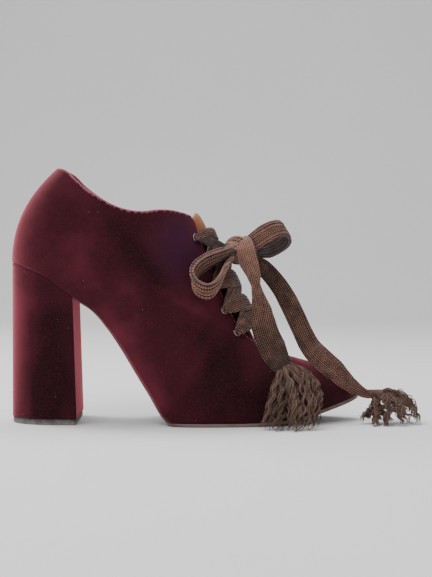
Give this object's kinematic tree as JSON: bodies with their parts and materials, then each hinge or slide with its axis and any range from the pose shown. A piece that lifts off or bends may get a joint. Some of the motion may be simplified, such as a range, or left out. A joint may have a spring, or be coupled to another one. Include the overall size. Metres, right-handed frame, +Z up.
{
  "type": "laced velvet ankle boot",
  "caption": "Low laced ankle boot in velvet with a high block heel, flat knitted laces tied in a bow, and a frayed tassel on each end.",
  "frame": {"origin": "on the floor under the middle of the boot's length and width, the laces' loops, ends and tassels left out", "axes": "+X towards the toe, +Y towards the inner side of the foot, +Z up"},
  "size_m": [0.2708, 0.0994, 0.169],
  "materials": {
    "velvet": "matte nap with a bright rim",
    "heel_velvet": "matte nap with a bright rim",
    "tan_leather": "smooth",
    "insole_leather": "smooth",
    "sole_leather": "smooth",
    "lift_rubber": "matte",
    "eyelet_metal": "satin",
    "lace_knit": "flat knit"
  },
  "bodies": {
    "root": {"upper": "velvet", "sole": "sole_leather", "insole": "insole_leather", "heel": "heel_velvet", "heel_lift": "lift_rubber", "tongue": "tan_leather", "lace_crossings": "lace_knit", "lace_knot": "lace_knit", "lace_loop_near": "lace_knit", "lace_loop_far": "lace_knit", "lace_end_near": "lace_knit", "lace_end_far": "lace_knit", "tassel_near": "lace_knit", "tassel_far": "lace_knit", "eyelet_outer_1": "eyelet_metal", "eyelet_outer_2": "eyelet_metal", "eyelet_outer_3": "eyelet_metal", "eyelet_outer_4": "eyelet_metal", "eyelet_outer_5": "eyelet_metal", "eyelet_inner_1": "eyelet_metal", "eyelet_inner_2": "eyelet_metal", "eyelet_inner_3": "eyelet_metal", "eyelet_inner_4": "eyelet_metal", "eyelet_inner_5": "eyelet_metal"}
  },
  "joints": []
}
